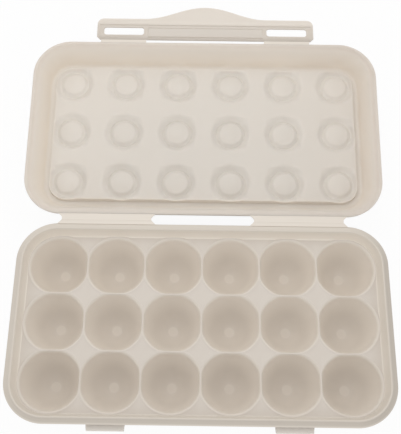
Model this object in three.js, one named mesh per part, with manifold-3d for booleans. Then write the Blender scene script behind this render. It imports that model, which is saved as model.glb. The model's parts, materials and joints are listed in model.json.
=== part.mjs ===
import * as THREE from 'three';
import { mergeVertices } from 'three/addons/utils/BufferGeometryUtils.js';
import Module from 'manifold-3d';

// Hinged box for eighteen eggs, moulded in one pale plastic.
// Millimetres, Z up, X along the hinge, -Y towards the catches.
// The lid is drawn opened back, almost level with the tray.

// Egg grid
const columns = 6;
const rows = 3;
const cupPitch = 49;

// Rim of the tray and of the lid, seen from above
const rimMargin = 11;
const rimCorner = 34;

// Gaps between pieces, and how far a cut runs past what it cuts
const seatGap = 0.3;
const cutOverrun = 2;

// Egg cups
const cupRadius = 25.6;
const cupDepth = 33;
const cupWall = 1.4;
const cupBottom = 1.4;
const cupLift = 1.6;
const dividerThickness = 1.7;

// Section of the tray, from its rim inwards
const flangeWidth = 3.8;
const flangeEdge = 2.4;
const ridgeRise = 1.4;
const ridgeTaper = 0.25;
const ridgeWidth = 1.8;
const skirtInset = 3.4;
const skirtDraft = 3.8;
const skirtWall = 1.6;
const innerWallRun = 2.95;
const innerWall = 1.4;
const deckDrop = 10;
const deckThickness = 1.5;

// Section of the lid, from its rim inwards
const ridgePlay = 0.4;
const ledgePlay = 0.6;
const lidFlangeEdge = 2.2;
const lidWall = 1.2;
const lidWallRun = 5.4;
const troughDepth = 21;
const troughChamfer = 1.4;
const troughFloor = 2.95;
const roofThickness = 1.2;

// Raised panel inside the lid, with a ring-shaped dimple over every egg
const panelApron = 1.9;
const panelSideRun = 0.8;
const moatDepth = 5;
const dimpleRadius = 19;
const domeRadius = 11.6;
const moatBottomRadius = 12.8;

// Folding strips between tray and lid
const hingeStandoff = 4.35;
const openTilt = 4.2;
const hingeWindow = 89;
const leafFromCorner = 2;
const leafFlare = 3.5;
const leafThickness = 1.4;
const foldFilm = 0.6;
const foldWidth = 1.5;
const foldGap = 0.15;

// Latch flap on the lid's free edge
const latchStandoff = 2.35;
const latchAxisDepth = 0.8;
const latchPlateThickness = 1.6;
const latchAboveAxis = 0.65;
const latchFoldGap = 0.3;
const latchEndBar = 6.6;
const latchCreaseBar = 2.5;
const latchChamfer = 3;
const slotStart = 57.6;
const slotLength = 37.3;
const slotOffset = 5.3;
const slotWidth = 7.6;
const slotCorner = 2.4;
const filmMargin = 2.5;
const filmThickness = 0.5;
const lipWidth = 6.8;
const lipCorner = 4.5;
const lipThickness = 1.8;
const tabRise = 12.8;
const tabHalfLength = 57;

// Catches on the front of the tray, and their clearances in the latch's slots
const catchInnerPlay = 1.8;
const catchOuterPlay = 3.9;
const catchUnderPlay = 0.5;
const catchHeight = 4.4;
const catchProud = 0.7;
const catchTaper = 0.9;

// Counts
const cornerSteps = 6;
const cupSides = 20;
const cupOutsideSides = 16;
const dimpleSides = 12;
const tabSteps = 14;
const flareSteps = 4;
const slotCornerSteps = 3;

// Outlines of turned pieces, as shares of a radius and of a depth
const bowlShares = [[1, 0], [0.95, 0.26], [0.8, 0.57], [0.52, 0.86], [0.2, 1], [0, 1]];
const moatShares = [[1, 0], [0.86, 0.3]];
const domeShares = [[1, 0.3], [0.8, 0.08], [0, 0]];

// Worked-out sizes of the tray
const rimWidth = columns * cupPitch + 2 * rimMargin;
const rimDepth = rows * cupPitch + 2 * rimMargin;
const deckZ = cupLift + cupBottom + cupDepth;
const trayHeight = deckZ + deckDrop;
const flangeUnder = trayHeight - flangeEdge;
const ridgeStart = flangeWidth + ridgeTaper;
const ridgeEnd = ridgeStart + ridgeWidth;
const innerWallFoot = ridgeEnd + innerWallRun;

// Worked-out sizes of the lid, as insets from its rim and depths below its rim plane
const lidRimFace = flangeWidth - ridgePlay;
const ledgeInset = ridgeEnd + ridgePlay;
const ledgeDepth = ridgeRise + ledgePlay;
const lidWallFoot = ledgeInset + lidWallRun;
const panelSplit = lidWallFoot + troughChamfer + troughFloor;
const panelFoot = panelSplit + seatGap + panelApron;
const panelInset = panelFoot + panelSideRun;
const panelDepth = troughDepth - moatDepth;
const floorUnder = -troughDepth - roofThickness;

// Worked-out places of the hinge and of the latch
const hingeY = rimDepth / 2 + hingeStandoff;
const leafEnd = rimWidth / 2 - rimCorner - leafFromCorner;
const latchHalfLength = slotStart + slotLength + latchEndBar;
const latchCrease = latchFoldGap + slotOffset + slotWidth + latchCreaseBar;
const lidCentreY = hingeStandoff + rimDepth / 2;
const latchAxisY = lidCentreY + rimDepth / 2 + latchStandoff;

const quarterTurn = Math.PI / 2;

// The middle of every egg cup, seen from above
const cupPlaces = Array.from({ length: rows * columns }, (_, i) => {
  const [row, column] = [Math.floor(i / columns), i % columns];
  const x = (column - (columns - 1) / 2) * cupPitch;
  const y = (row - (rows - 1) / 2) * cupPitch;
  return { row, column, x, y };
});

const wasm = await Module();
wasm.setup();

// A closed geometry as a solid that can be cut and joined
function solid(geometry) {
  const bare = geometry.clone();
  bare.deleteAttribute('normal');
  bare.deleteAttribute('uv');
  const merged = mergeVertices(bare);
  const corners = merged.index.array;
  const triangles = [];
  for (let i = 0; i < corners.length; i += 3) {
    const [a, b, c] = [corners[i], corners[i + 1], corners[i + 2]];
    if (a !== b && b !== c && c !== a) triangles.push(a, b, c);
  }
  return new wasm.Manifold(new wasm.Mesh({
    numProp: 3,
    vertProperties: new Float32Array(merged.attributes.position.array),
    triVerts: new Uint32Array(triangles),
  }));
}

// A solid's surface as a geometry
function surface(body) {
  const { vertProperties, triVerts } = body.getMesh();
  const geometry = new THREE.BufferGeometry();
  geometry.setAttribute('position', new THREE.BufferAttribute(new Float32Array(vertProperties), 3));
  geometry.setIndex(new THREE.BufferAttribute(new Uint32Array(triVerts), 1));
  geometry.computeVertexNormals();
  return geometry;
}

// Points and corner numbers as a geometry whose faces point out
function closedGeometry(points, corners) {
  let volume = 0;
  for (let i = 0; i < corners.length; i += 3) {
    const [a, b, c] = [points[corners[i]], points[corners[i + 1]], points[corners[i + 2]]];
    volume += a.dot(b.clone().cross(c));
  }
  const geometry = new THREE.BufferGeometry().setFromPoints(points);
  geometry.setIndex(volume < 0 ? corners.slice().reverse() : corners);
  geometry.computeVertexNormals();
  return geometry;
}

// A rectangle with round corners about a centre, anticlockwise
function roundedRectangle(halfX, halfY, corner, steps, centreX = 0, centreY = 0) {
  const signs = [[1, 1], [-1, 1], [-1, -1], [1, -1]];
  return signs.flatMap(([signX, signY], turn) => Array.from({ length: steps + 1 }, (_, step) => {
    const angle = (turn + step / steps) * quarterTurn;
    const x = centreX + signX * (halfX - corner) + corner * Math.cos(angle);
    const y = centreY + signY * (halfY - corner) + corner * Math.sin(angle);
    return new THREE.Vector2(x, y);
  }));
}

// Outline of the rim, moved inwards by an inset
function rimOutline(inset) {
  return roundedRectangle(rimWidth / 2 - inset, rimDepth / 2 - inset, rimCorner - inset, cornerSteps);
}

// A closed section of [inset, height] points carried round the rim
function rimSweep(section) {
  const ring = ([inset, z]) => rimOutline(inset).map((p) => new THREE.Vector3(p.x, p.y, z));
  const rings = section.map(ring);
  const count = rings[0].length;
  const corners = [];
  for (let j = 0; j < rings.length; j++) {
    const next = (j + 1) % rings.length;
    for (let i = 0; i < count; i++) {
      const beside = (i + 1) % count;
      const [a, b, c, d] = [j * count + i, j * count + beside, next * count + beside, next * count + i];
      corners.push(a, b, c, a, c, d);
    }
  }
  return closedGeometry(rings.flat(), corners);
}

// A body through outlines of equally many points, each at its own height
function stack(levels) {
  const clockwise = THREE.ShapeUtils.isClockWise(levels[0].outline);
  const outlines = levels.map(({ outline }) => (clockwise ? outline.slice().reverse() : outline));
  const count = outlines[0].length;
  const points = outlines.flatMap((outline, j) => outline.map(({ x, y }) => (
    new THREE.Vector3(x, y, levels[j].z)
  )));
  const corners = [];
  for (let j = 0; j + 1 < levels.length; j++) {
    for (let i = 0; i < count; i++) {
      const [a, b] = [j * count + i, j * count + (i + 1) % count];
      corners.push(a, b, b + count, a, b + count, a + count);
    }
  }
  const top = (levels.length - 1) * count;
  for (const [a, b, c] of THREE.ShapeUtils.triangulateShape(outlines[0], [])) {
    corners.push(a, c, b, top + a, top + b, top + c);
  }
  return closedGeometry(points, corners);
}

// A body of revolution about Z from [radius, height] points that start and end on the axis
function turned(section, sides) {
  const profile = section.map(([radius, z]) => new THREE.Vector2(radius, z));
  const outward = THREE.ShapeUtils.area(profile) < 0 ? profile.reverse() : profile;
  return solid(new THREE.LatheGeometry(outward, sides).rotateX(quarterTurn));
}

function box(lowX, highX, lowY, highY, lowZ, highZ) {
  const geometry = new THREE.BoxGeometry(highX - lowX, highY - lowY, highZ - lowZ);
  return solid(geometry.translate((lowX + highX) / 2, (lowY + highY) / 2, (lowZ + highZ) / 2));
}

function plate(shape, lowZ, highZ) {
  const geometry = new THREE.ExtrudeGeometry(shape, { depth: highZ - lowZ, bevelEnabled: false });
  return solid(geometry.translate(0, 0, lowZ));
}

function piece(name, geometry, color = '#ddd4c8') {
  const material = new THREE.MeshStandardMaterial({ color, roughness: 0.42, metalness: 0 });
  const mesh = new THREE.Mesh(geometry, material);
  mesh.name = name;
  return mesh;
}

// Where the straight line through two [inset, height] points crosses a height
function insetAt([insetA, zA], [insetB, zB], z) {
  return insetA + (insetB - insetA) * (z - zA) / (zB - zA);
}

// How far the skirt lies inside the rim at a height above the table
function skirtInsetAt(z) {
  return insetAt([skirtInset, flangeUnder], [skirtInset + skirtDraft, 0], z);
}

// A ring round the rim, cut into one piece for each named area of the plan
function cutRing(name, ring, areas) {
  ring.computeBoundingBox();
  const { min, max } = ring.boundingBox.expandByScalar(cutOverrun);
  const body = solid(ring);
  return areas.map(([area, lowX, highX, lowY, highY]) => {
    const [left, right] = [Math.max(lowX, min.x), Math.min(highX, max.x)];
    const [front, back] = [Math.max(lowY, min.y), Math.min(highY, max.y)];
    return piece(`${name}_${area}`, surface(body.intersect(box(left, right, front, back, min.z, max.z))));
  });
}

// Tray: rim flange with the sealing ridge, then the inner wall down to the deck, then the outer skirt
function trayRings() {
  const ridgeEdge = [ridgeEnd, trayHeight + ridgeRise];
  const deckEdge = [innerWallFoot, deckZ];
  const wallTop = insetAt(ridgeEdge, deckEdge, flangeUnder);
  const deckUnder = deckZ - deckThickness;
  const rim = rimSweep([
    [0, flangeUnder],
    [0, trayHeight],
    [flangeWidth, trayHeight],
    [ridgeStart, trayHeight + ridgeRise],
    ridgeEdge,
    [wallTop, flangeUnder],
  ]);
  const wall = rimSweep([
    [skirtInset + skirtWall, flangeUnder],
    [wallTop, flangeUnder],
    deckEdge,
    [innerWallFoot, deckUnder],
    [innerWallFoot - innerWall, deckUnder],
  ]);
  const skirt = rimSweep([
    [skirtInset, flangeUnder],
    [skirtInset + skirtWall, flangeUnder],
    [skirtInset + skirtDraft + skirtWall, 0],
    [skirtInset + skirtDraft, 0],
  ]);
  const bend = rimWidth / 2 - rimCorner;
  const skirtAreas = [
    ['front', -bend, bend, -Infinity, 0],
    ['back', -bend, bend, 0, Infinity],
    ['left', -Infinity, -bend, -Infinity, Infinity],
    ['right', bend, Infinity, -Infinity, Infinity],
  ];
  return [piece('tray_rim', rim), piece('tray_wall', wall), ...cutRing('tray_skirt', skirt, skirtAreas)];
}

// A box over one cell of the egg grid, run past the rim where the cell lies at an edge
function cellBox({ row, column }, half, lowZ, highZ) {
  const beyond = rimMargin + cutOverrun;
  const lowX = -half - (column === 0 ? beyond : 0);
  const highX = half + (column === columns - 1 ? beyond : 0);
  const lowY = -half - (row === 0 ? beyond : 0);
  const highY = half + (row === rows - 1 ? beyond : 0);
  return box(lowX, highX, lowY, highY, lowZ, highZ);
}

// One egg cup with its share of the deck, drawn about its own centre at deck height
function cup(place, trayInside) {
  const { row, column, x, y } = place;
  const half = cupPitch / 2;
  const low = -cupDepth - cupBottom - cutOverrun;
  const wallAt = (share) => (share > 0 ? cupWall : 0);
  const outside = bowlShares.map(([r, d]) => [r * cupRadius + wallAt(r), -d * (cupDepth + cupBottom)]);
  const inside = bowlShares.map(([r, d]) => [r * cupRadius, -d * cupDepth]);
  const shell = turned([[0, 0], ...outside], cupOutsideSides);
  const bowl = turned([[0, cutOverrun], [cupRadius, cutOverrun], ...inside], cupSides);
  const hollow = bowl.intersect(cellBox(place, half - dividerThickness / 2, low, cutOverrun));
  const deck = cellBox(place, half, -deckThickness, 0);
  const cell = cellBox(place, half, low, cutOverrun).intersect(trayInside.translate([-x, -y, 0]));
  const body = deck.add(shell).intersect(cell).subtract(hollow);
  const mesh = piece(`cup_row${row + 1}_col${column + 1}`, surface(body), '#d8cfc3');
  mesh.position.set(x, y, deckZ);
  return mesh;
}

function cups() {
  const outline = rimOutline(innerWallFoot + seatGap);
  const low = -cupDepth - cupBottom - cutOverrun;
  const trayInside = solid(stack([{ outline, z: low }, { outline, z: cutOverrun }]));
  return cupPlaces.map((place) => cup(place, trayInside));
}

// A catch on the skirt, a flat hook inside the latch's slot when the shut box is latched
function trayCatch(name, side) {
  const axisZ = trayHeight + seatGap + latchAxisDepth;
  const low = axisZ - latchFoldGap - slotOffset - slotWidth + catchUnderPlay;
  const tip = -rimDepth / 2 - latchStandoff - (latchPlateThickness - latchAboveAxis) - catchProud;
  const near = slotStart + catchInnerPlay;
  const far = slotStart + slotLength - catchOuterPlay;
  const level = (z) => {
    const root = -rimDepth / 2 + skirtInsetAt(z) - seatGap;
    const corners = [[near, root], [far, root], [far - catchTaper, tip], [near + catchTaper, tip]];
    return { outline: corners.map(([x, y]) => new THREE.Vector2(side * x, y)), z };
  };
  return piece(name, stack([level(low), level(low + catchHeight)]), '#d2c9bc');
}

// A folding strip from a rim edge at y = 0 out to the fold, its upper face at z = 0
function foldingStrip(side, rootGap) {
  const reach = hingeStandoff - foldGap;
  const edge = (x, flare) => Array.from({ length: flareSteps + 1 }, (_, step) => {
    const share = step / flareSteps;
    return new THREE.Vector2(side * (x + flare * (1 - share) ** 2), rootGap + share * (reach - rootGap));
  });
  const outline = [...edge(leafEnd, leafFlare), ...edge(hingeWindow / 2, -leafFlare).reverse()];
  const far = leafEnd + leafFlare + cutOverrun;
  const low = -leafThickness - cutOverrun;
  const groove = box(-far, far, reach - foldWidth, reach + cutOverrun, low, -foldFilm);
  return plate(new THREE.Shape(outline), -leafThickness, 0).subtract(groove);
}

function trayHingeLeaf(name, side) {
  const mesh = piece(name, surface(foldingStrip(side, 0)), '#e1d8cd');
  mesh.position.set(0, rimDepth / 2, trayHeight);
  return mesh;
}

function lidHingeLeaf(name, side) {
  const mesh = piece(name, surface(foldingStrip(-side, seatGap)), '#e1d8cd');
  mesh.position.set(0, hingeStandoff, 0);
  mesh.rotation.z = Math.PI;
  return mesh;
}

// Lid: rim face with the ledge that clears the tray's ridge, then the sloping wall, then the trough
function lidRings() {
  const ledgeUnder = -ledgeDepth - lidWall;
  const bend = troughChamfer - troughDepth;
  const insideTop = [ledgeInset, -ledgeDepth];
  const insideFoot = [lidWallFoot, bend];
  const outsideTop = [ledgeInset - lidWall, ledgeUnder];
  const outsideFoot = [lidWallFoot - lidWall, floorUnder + troughChamfer];
  const troughEdge = [lidWallFoot + troughChamfer, -troughDepth];
  const rim = rimSweep([
    [0, -lidFlangeEdge],
    [0, 0],
    [lidRimFace, 0],
    [lidRimFace, -ledgeDepth],
    insideTop,
    [insetAt(insideTop, insideFoot, ledgeUnder), ledgeUnder],
    [lidRimFace - lidWall, ledgeUnder],
    [lidRimFace - lidWall, -lidFlangeEdge],
  ]);
  const wallTop = ledgeUnder - seatGap;
  const wall = rimSweep([
    [insetAt(outsideTop, outsideFoot, wallTop), wallTop],
    [insetAt(insideTop, insideFoot, wallTop), wallTop],
    insideFoot,
    [insetAt(outsideTop, outsideFoot, bend), bend],
  ]);
  const troughTop = bend - seatGap;
  const trough = rimSweep([
    [insetAt(outsideTop, outsideFoot, troughTop), troughTop],
    [insetAt(insideFoot, troughEdge, troughTop), troughTop],
    troughEdge,
    [panelSplit, -troughDepth],
    [panelSplit, floorUnder],
    [lidWallFoot, floorUnder],
    outsideFoot,
  ]);
  const quarters = [
    ['hinge_left', -Infinity, 0, -Infinity, 0],
    ['hinge_right', 0, Infinity, -Infinity, 0],
    ['latch_left', -Infinity, 0, 0, Infinity],
    ['latch_right', 0, Infinity, 0, Infinity],
  ];
  const rings = [
    piece('lid_rim', rim),
    ...cutRing('lid_wall', wall, quarters),
    piece('lid_trough', trough),
  ];
  for (const ring of rings) ring.position.set(0, lidCentreY, 0);
  return rings;
}

// Ring-shaped moat round a low dome: what it fills below the panel, and what it cuts from each side
function dimpleBodies() {
  const under = -panelDepth - roofThickness;
  const deepest = floorUnder - cutOverrun;
  const depthAt = (share) => -panelDepth - share * moatDepth;
  const slope = moatShares.map(([r, d]) => [r * dimpleRadius, depthAt(d)]);
  const dome = domeShares.map(([r, d]) => [r * domeRadius, depthAt(d)]);
  const fillTop = -panelDepth - roofThickness / 2;
  const moatOutside = moatBottomRadius + lidWall;
  const domeInside = domeRadius - lidWall;
  const fill = [[0, fillTop], [dimpleRadius, fillTop], [moatOutside, floorUnder], [0, floorUnder]];
  const above = [[0, cutOverrun - panelDepth], [dimpleRadius, cutOverrun - panelDepth]];
  const moat = [...above, ...slope, [moatBottomRadius, -troughDepth], ...dome];
  const below = [[0, under], [domeInside - lidWall, under], [domeInside, deepest], [0, deepest]];
  return [fill, moat, below].map((section) => turned(section, dimpleSides));
}

// The raised panel, as one tile for each cup and named after the cup that it covers when the lid is shut
function lidPanel() {
  const level = (inset, z) => ({ outline: rimOutline(inset), z });
  const split = panelSplit + seatGap;
  const floor = solid(stack([level(split, floorUnder), level(split, -troughDepth)]));
  const raised = solid(stack([level(panelFoot, floorUnder), level(panelInset, -panelDepth)]));
  const recess = solid(stack([
    level(panelFoot + lidWall, floorUnder - cutOverrun),
    level(panelInset + lidWall, -panelDepth - roofThickness),
  ]));
  const [fill, moat, below] = dimpleBodies();
  let body = floor.add(raised).subtract(recess);
  for (const { x, y } of cupPlaces) {
    const place = [x, y, 0];
    body = body.add(fill.translate(place).intersect(raised));
    body = body.subtract(moat.translate(place)).subtract(below.translate(place));
  }
  return cupPlaces.map((place) => {
    const { row, column, x, y } = place;
    const cell = cellBox(place, cupPitch / 2, floorUnder - cutOverrun, cutOverrun - panelDepth);
    const tile = body.translate([-x, -y, 0]).intersect(cell);
    const mesh = piece(`lid_panel_row${rows - row}_col${column + 1}`, surface(tile), '#dfd7cc');
    mesh.position.set(x, lidCentreY + y, 0);
    return mesh;
  });
}

// Short film that joins the lid's free edge to the latch flap
function latchFilm(name, side) {
  const length = slotLength + 2 * filmMargin;
  const width = latchStandoff - seatGap - latchFoldGap;
  const mesh = piece(name, new THREE.BoxGeometry(length, width, filmThickness), '#e1d8cd');
  const middleX = side * (slotStart + slotLength / 2);
  mesh.position.set(middleX, latchAxisY - latchFoldGap - width / 2, -latchAxisDepth);
  return mesh;
}

function latchPlate() {
  const shape = new THREE.Shape([
    new THREE.Vector2(-latchHalfLength + latchChamfer, latchFoldGap),
    new THREE.Vector2(latchHalfLength - latchChamfer, latchFoldGap),
    new THREE.Vector2(latchHalfLength, latchFoldGap + latchChamfer),
    new THREE.Vector2(latchHalfLength, latchCrease),
    new THREE.Vector2(-latchHalfLength, latchCrease),
    new THREE.Vector2(-latchHalfLength, latchFoldGap + latchChamfer),
  ]);
  const slotMiddle = [slotStart + slotLength / 2, latchFoldGap + slotOffset + slotWidth / 2];
  for (const side of [-1, 1]) {
    const [x, y] = [side * slotMiddle[0], slotMiddle[1]];
    const slot = roundedRectangle(slotLength / 2, slotWidth / 2, slotCorner, slotCornerSteps, x, y);
    shape.holes.push(new THREE.Path(slot));
  }
  return piece('latch_plate', surface(plate(shape, latchAboveAxis - latchPlateThickness, latchAboveAxis)));
}

// Finger lip beyond the plate's crease, swelling into a thumb tab at the middle
function latchLip() {
  const low = latchCrease + seatGap;
  const top = low + lipWidth;
  const lipEnd = (side) => Array.from({ length: slotCornerSteps + 1 }, (_, step) => {
    const angle = step / slotCornerSteps * quarterTurn;
    const x = side * (latchHalfLength - lipCorner + lipCorner * Math.cos(angle));
    return new THREE.Vector2(x, top - lipCorner + lipCorner * Math.sin(angle));
  });
  const tab = Array.from({ length: tabSteps + 1 }, (_, step) => {
    const share = 1 - 2 * step / tabSteps;
    return new THREE.Vector2(share * tabHalfLength, top + tabRise * (1 + Math.cos(Math.PI * share)) / 2);
  });
  const shape = new THREE.Shape([
    new THREE.Vector2(-latchHalfLength, low),
    new THREE.Vector2(latchHalfLength, low),
    ...lipEnd(1),
    ...tab,
    ...lipEnd(-1).reverse(),
  ]);
  return piece('latch_lip', surface(plate(shape, latchAboveAxis - lipThickness, latchAboveAxis)));
}

// Assembly: the latch turns on the lid, and the lid on the tray
const tray = new THREE.Group();
tray.add(...trayRings(), ...cups());
tray.add(trayCatch('catch_left', -1), trayCatch('catch_right', 1));
tray.add(trayHingeLeaf('hinge_leaf_tray_left', -1), trayHingeLeaf('hinge_leaf_tray_right', 1));

const latch = new THREE.Group();
latch.add(latchPlate(), latchLip());
latch.position.set(0, latchAxisY, -latchAxisDepth);

const lidSurfaces = new THREE.Group();
lidSurfaces.add(...lidRings(), ...lidPanel());
lidSurfaces.add(lidHingeLeaf('hinge_leaf_lid_left', -1), lidHingeLeaf('hinge_leaf_lid_right', 1));
lidSurfaces.add(latchFilm('latch_film_left', -1), latchFilm('latch_film_right', 1));
lidSurfaces.add(latch);
lidSurfaces.position.set(0, 0, -seatGap / 2);

const lid = new THREE.Group();
lid.add(lidSurfaces);
lid.position.set(0, hingeY, trayHeight + seatGap / 2);
lid.rotation.x = THREE.MathUtils.degToRad(openTilt);

const eggBox = new THREE.Group();
eggBox.add(tray, lid);

// The origin lies under the middle of the open box, on the table
const reach = new THREE.Box3().setFromObject(eggBox, true);
const middle = reach.getCenter(new THREE.Vector3());
eggBox.position.set(-middle.x, -middle.y, -reach.min.z);

export default eggBox;
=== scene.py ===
import json
import math

import bpy
import numpy as np
from mathutils import Matrix, Vector
from mathutils.geometry import tessellate_polygon


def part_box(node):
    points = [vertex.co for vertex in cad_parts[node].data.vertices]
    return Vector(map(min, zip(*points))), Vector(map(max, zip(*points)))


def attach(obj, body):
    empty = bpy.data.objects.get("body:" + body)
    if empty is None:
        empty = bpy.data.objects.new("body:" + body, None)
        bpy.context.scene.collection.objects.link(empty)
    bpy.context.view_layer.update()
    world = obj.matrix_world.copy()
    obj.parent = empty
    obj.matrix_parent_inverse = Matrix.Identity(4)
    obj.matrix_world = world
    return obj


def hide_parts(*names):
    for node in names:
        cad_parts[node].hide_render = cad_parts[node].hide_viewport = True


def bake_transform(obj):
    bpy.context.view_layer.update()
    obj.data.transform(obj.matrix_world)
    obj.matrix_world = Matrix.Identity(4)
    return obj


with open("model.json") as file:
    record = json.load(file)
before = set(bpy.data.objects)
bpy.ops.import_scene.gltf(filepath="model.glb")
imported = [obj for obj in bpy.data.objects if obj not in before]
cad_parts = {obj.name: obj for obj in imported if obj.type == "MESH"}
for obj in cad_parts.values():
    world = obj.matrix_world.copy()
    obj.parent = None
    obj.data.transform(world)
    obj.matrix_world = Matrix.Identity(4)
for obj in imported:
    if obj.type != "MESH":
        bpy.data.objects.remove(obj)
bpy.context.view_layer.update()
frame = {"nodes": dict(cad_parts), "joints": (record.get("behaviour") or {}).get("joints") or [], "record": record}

# Places taken from the frame, in metres
tray_low, tray_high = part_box("tray_rim")
cell_low, cell_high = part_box("cup_row2_col3")
joints = {joint["name"]: joint for joint in frame["joints"]}
mounts = {mount["name"]: mount for mount in frame["record"]["mounts"]}
roof_axis = mounts["lid_roof"]["axis"]
TRAY_Y = (tray_low.y + tray_high.y) / 2
RIM_WIDTH = tray_high.x - tray_low.x
RIM_DEPTH = tray_high.y - tray_low.y
PITCH = cell_high.x - cell_low.x
DECK_Z = cell_high.z
HINGE = Vector(joints["lid_hinge"]["pos_m"])
LATCH_AXIS = Vector(joints["latch_hinge"]["pos_m"])
OPEN_TILT = math.atan2(roof_axis[1], -roof_axis[2])
HINGE_STANDOFF = HINGE.y - tray_high.y

# Shared sizes, in metres
ROWS, COLUMNS = 3, 6
SEAT_GAP = 0.0003
TUCK = 0.0003
RIM_CORNER = 0.034
RIM_Z = HINGE.z - SEAT_GAP / 2

# Lengths that roundings cut off the sides of a corner
FOOT_CUT = 0.0003
UNDER_CUT = 0.0004
SMALL_CUT = 0.0005
STEP_CUT = 0.0006
UNDER_WALL_CUT = 0.0009
LID_EDGE_CUT = 0.0011
RIM_CUT = 0.0012
FLOOR_CUT = 0.0014
WALL_FOOT_CUT = 0.0016

# Tray section, from its rim inwards
FLANGE_WIDTH = 0.0038
FLANGE_EDGE = 0.0024
FLANGE_SIDE = 0.0014
FLANGE_BREAK = 0.0022
FLANGE_FALL = 0.0002
RIDGE_LEAD = 0.0002
RIDGE_LEAN = 0.0003
RIDGE_RISE = 0.0009
RIDGE_TAPER = 0.00025
RIDGE_WIDTH = 0.0018
WALL_FOOT = 0.0088
WALL_THICKNESS = 0.0014
FOOT_FILLET = 0.0011
DECK_THICKNESS = 0.0015
SKIRT_INSET = 0.0034
SKIRT_DRAFT = 0.0038
SKIRT_WALL = 0.0016

# Egg cups
CUP_RADIUS = 0.0256
CUP_DEPTH = 0.033
CUP_WALL = 0.0014
DIVIDER = 0.0022
BEAD_HEIGHT = 0.00035
BEAD_RUN = 0.0011
LIP_DEPTH = 0.0045
LIP_RUN = 0.0015
LIP_RINGS = 9
CUP_BLEND = 0.0012
BEAD_SHARES = (0.3, 0.6, 1)
UNDER_TURNS = (0.93, 0.08)
UNDER_POWER_ACROSS = 2.2
UNDER_POWER_DOWN = 1.8
BOWL_FLAT = 0.0044
BOWL_FLAT_SHARES = (0.5, 0.9)
BOWL_FIRST_SLOPE = math.radians(20)
BOWL_LAST_SLOPE = math.radians(78)

# Lid section, from its rim inwards, heights below its rim plane
LID_FACE = 0.0026
LID_EDGE = 0.0022
LID_SIDE = 0.0014
LID_TOP_INSET = 0.00002
LID_TOP_DROP = 0.0001
LEDGE_INSET = 0.0056
LEDGE_DEPTH = 0.0021
LID_WALL = 0.0012
LID_WALL_FOOT = 0.0128
TROUGH_DEPTH = 0.021
TROUGH_CHAMFER_RISE = 0.0014
TROUGH_CHAMFER_RUN = 0.0018
PANEL_START = 0.0162
PANEL_FOOT = 0.0182
PANEL_INSET = 0.019
PANEL_DEPTH = 0.016
DIMPLE_RADIUS = 0.019
MOAT_RADIUS = 0.0128
MOAT_DEPTH = 0.0042
DOME_RADIUS = 0.0116
DOME_SHARE = 0.42
DOME_SIDE_START = 0.0021
DOME_SIDE_RUN = 0.0041
PANEL_TOP_BLEND = 0.0012
PANEL_FOOT_BLEND = 0.0008
CIRCLE_REACH = 0.0134
CIRCLE_FADE = 0.003

# Outer side of the lid, from its rim inwards
OUTSIDE_BREAK = 0.0002
OUTSIDE_STEP_START = 0.0021
OUTSIDE_STEP_END = 0.0023
OUTSIDE_STEP_DEPTH = 0.0032
OUTSIDE_WALL_START = 0.00505
OUTSIDE_WALL_FOOT = 0.01045
OUTSIDE_ROOF_START = 0.01165

# Hinge strips and their fold
HINGE_WINDOW = 0.089
LEAF_LENGTH = 0.0775
LEAF_FLARE = 0.0035
LEAF_THICKNESS = 0.0014
LEAF_SINK = 0.0005
LEAF_STEPS = ((-0.0006, 1), (0.0004, 1), (0.0014, 0.95), (0.0022, 0.7))
LEAF_FOLD_SINK = 0.45
LEAF_UNDER_FILM = 0.0002
LEAF_UNDER_FILM_SINK = 0.8
FOLD_HALF = 0.0016
FOLD_THICKNESS = 0.0006
FOLD_OVERLAP = 0.0001
FOLD_DROP = 0.00002
FOLD_EDGE_DROP = 0.00022
FOLD_EDGE_START = 0.75

# Latch flap
LATCH_STANDOFF = 0.00235
LATCH_HALF_LENGTH = 0.1015
LATCH_GAP = 0.0003
LATCH_TOP = 0.00065
LATCH_THICKNESS = 0.0016
LATCH_CREASE = 0.0157
LATCH_CHAMFER = 0.003
LIP_WIDTH = 0.0071
LIP_CORNER = 0.006
TAB_RISE = 0.0128
TAB_HALF_LENGTH = 0.057
SLOT_START = 0.0576
SLOT_LENGTH = 0.0373
SLOT_OFFSET = 0.0053
SLOT_WIDTH = 0.0076
SLOT_CORNER = 0.0024
FILM_MARGIN = 0.0025
FILM_THICKNESS = 0.0005
FILM_OVERLAP = 0.0004

# Face of the latch flap
PLATE_ROUNDING = 0.0005
PLATE_BREAK = 0.3
BORDER_DROP = 0.0003
BORDER_INSETS = (0.0012, 0.0016)
HOLE_BORDER_INSETS = (0.001, 0.0013)
POCKET_DROP = 0.0009
POCKET_INSETS = (0.0001, 0.0004)
POCKET_BREAK = 1.6
GROOVE_CORNER = 0.0004
CREASE_MARGIN = 0.0022
CREASE_HALF = 0.0007
PANEL_MARGIN = 0.0036
PANEL_HALF = 0.0041
PANEL_CORNER = 0.0008
PANEL_MIDDLE = 0.0093
FOOT_GROOVE_HALF = 0.0006
FOOT_GROOVE_MIDDLE = 0.0033

# Catches
CATCH_ROUNDING = 0.0005
CATCH_TAPER = 0.0009

# Fineness
CORNER_STEPS = 20
ROUND_STEPS = 4
SIDE_SHARES = (0.02, 0.25, 0.5, 0.75, 0.98)
HALVINGS = 40
STRIP_STEPS = 9
FOLD_STEPS = 17
FILM_STEPS_ALONG = 13
FILM_STEPS_ACROSS = 5
GROOVE_STEPS = 2
PANEL_STEPS = 3
SLOT_STEPS = 6
LIP_CORNER_STEPS = 7
CUP_ANGLES = 72
BOWL_RINGS = 18
UNDER_RINGS = 8
TAB_STEPS = 40
SHARP_ANGLE = math.radians(40)
SAME_ANGLE = 1e-3
LEAST_COSINE = 1e-6
LEAST_MITRE = 0.3

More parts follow.
